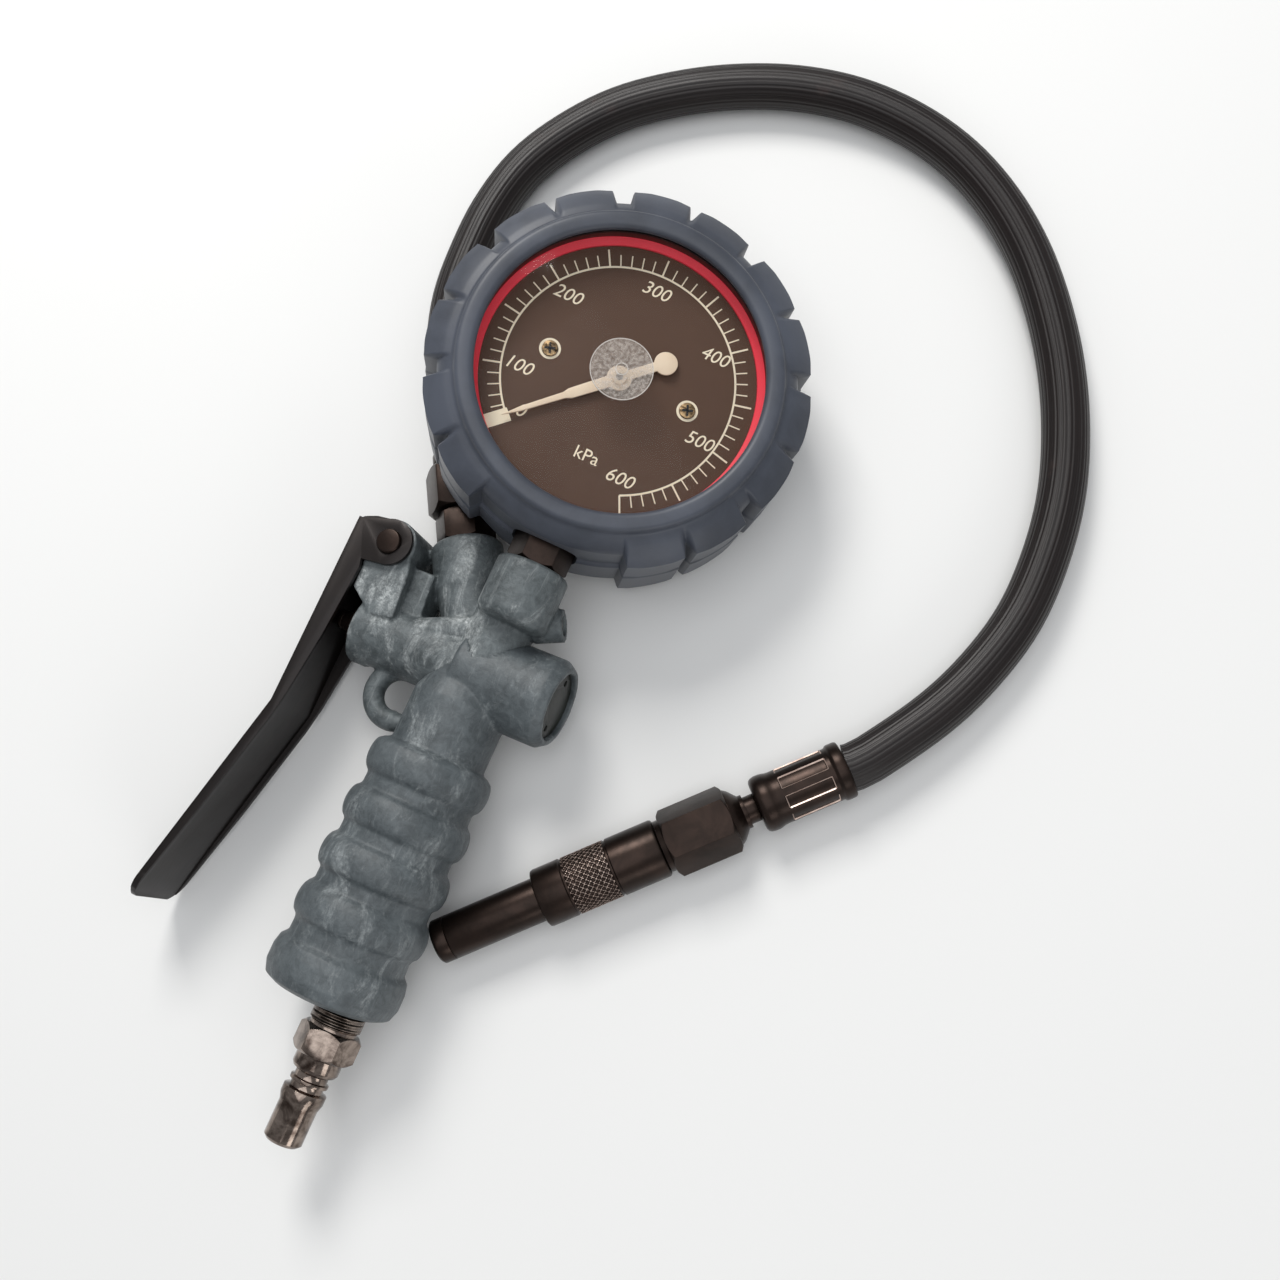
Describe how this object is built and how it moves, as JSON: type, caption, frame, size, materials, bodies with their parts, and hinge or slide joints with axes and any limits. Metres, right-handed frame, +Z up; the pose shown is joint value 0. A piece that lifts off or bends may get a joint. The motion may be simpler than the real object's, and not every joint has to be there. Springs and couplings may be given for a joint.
{
  "type": "tyre inflator with gauge",
  "caption": "Hand tyre inflator: lever valve with ribbed grip, dial gauge in a lugged rubber boot, and a looped hose with a push-on chuck.",
  "frame": {"origin": "centre of the air inlet plug at the front of its sealing nose", "axes": "+Y along the inlet axis towards the gauge, +Z up with the tool lying on its back, +X to the side away from the lever"},
  "size_m": [0.192, 0.322, 0.0552],
  "materials": {
    "casting": "satin",
    "grip_rubber": "matte",
    "boot_rubber": "matte",
    "black_metal": "satin",
    "chrome": "polished",
    "brass": "satin",
    "steel": "satin",
    "seal_rubber": "matte",
    "hose_rubber": "matte",
    "lens": "clear",
    "red_plastic": "gloss",
    "dial_enamel": "satin",
    "pointer_paint": "satin",
    "cap_plastic": "matte"
  },
  "bodies": {
    "housing": {"valve_body": "casting", "grip_sleeve": "grip_rubber", "gland_nut": "black_metal", "gland_seal": "seal_rubber", "valve_seat": "brass", "valve_end_cap": "cap_plastic", "end_cap_seal": "seal_rubber", "poppet_spring": "steel", "blanking_screw": "steel", "pivot_pin": "black_metal", "pivot_clip": "steel", "inlet_nipple": "chrome", "inlet_strainer": "brass", "gauge_boot": "boot_rubber", "gauge_case": "black_metal", "bezel_ring": "black_metal", "lens": "lens", "lens_gasket": "seal_rubber", "red_ring": "red_plastic", "dial_plate": "dial_enamel", "dial_screws": "steel", "gauge_socket": "brass", "bourdon_tube": "brass", "movement_back_plate": "brass", "movement_front_plate": "brass", "movement_pillars": "brass", "hairspring": "steel", "case_screws": "steel", "hose_adaptor": "black_metal", "swivel_nut": "black_metal", "rear_ferrule": "black_metal", "hose": "hose_rubber", "front_ferrule": "black_metal", "hose_tail": "chrome", "chuck_body": "black_metal", "chuck_nose": "chrome", "tip_ring": "steel", "chuck_jaws": "steel", "chuck_seal": "seal_rubber", "depressor_pin": "brass", "chuck_spring": "steel"},
    "lever": {"lever": "black_metal"},
    "valve_stem": {"valve_stem": "brass", "stem_button": "black_metal", "stem_seals": "seal_rubber", "poppet": "seal_rubber"},
    "sector": {"sector_gear": "brass"},
    "tip_link": {"tip_link": "steel"},
    "pointer": {"pinion_arbor": "steel", "pointer": "pointer_paint"},
    "chuck_sleeve": {"chuck_sleeve": "black_metal"}
  },
  "joints": [
    {"name": "lever_squeeze", "type": "hinge", "parent": "housing", "child": "lever", "pos_m": [-0.03736, 0.144, -0.00327], "axis": [-0.0872, 0, 0.9962], "range_deg": [0, 12], "stiffness_Nm_per_rad": 0.8},
    {"name": "stem_press", "type": "slide", "parent": "housing", "child": "valve_stem", "axis": [0.9962, 0, 0.0872], "range_m": [0, 0.00462]},
    {"name": "sector_turn", "type": "hinge", "parent": "housing", "child": "sector", "pos_m": [0.0005, 0.1823, 0.00965], "axis": [0.225, 0, 0.9744], "range_deg": [0, 41.28], "stiffness_Nm_per_rad": 0.002},
    {"name": "link_follow", "type": "hinge", "parent": "sector", "child": "tip_link", "pos_m": [0.00599, 0.18025, 0.00838], "axis": [0.225, 0, 0.9744], "range_deg": [-41.3, 0]},
    {"name": "pointer_turn", "type": "hinge", "parent": "housing", "child": "pointer", "pos_m": [0.0005, 0.2023, 0.00965], "axis": [0.225, 0, 0.9744], "range_deg": [-289, 0]},
    {"name": "sleeve_slide", "type": "slide", "parent": "housing", "child": "chuck_sleeve", "axis": [-0.6947, -0.7193, 0], "range_m": [0, 0.004], "stiffness_N_per_m": 400}
  ],
  "couplings": [
    {"joint": "stem_press", "follows": "lever_squeeze", "m_per_rad": 0.022},
    {"joint": "link_follow", "follows": "sector_turn", "ratio": -1},
    {"joint": "pointer_turn", "follows": "sector_turn", "ratio": -7}
  ]
}
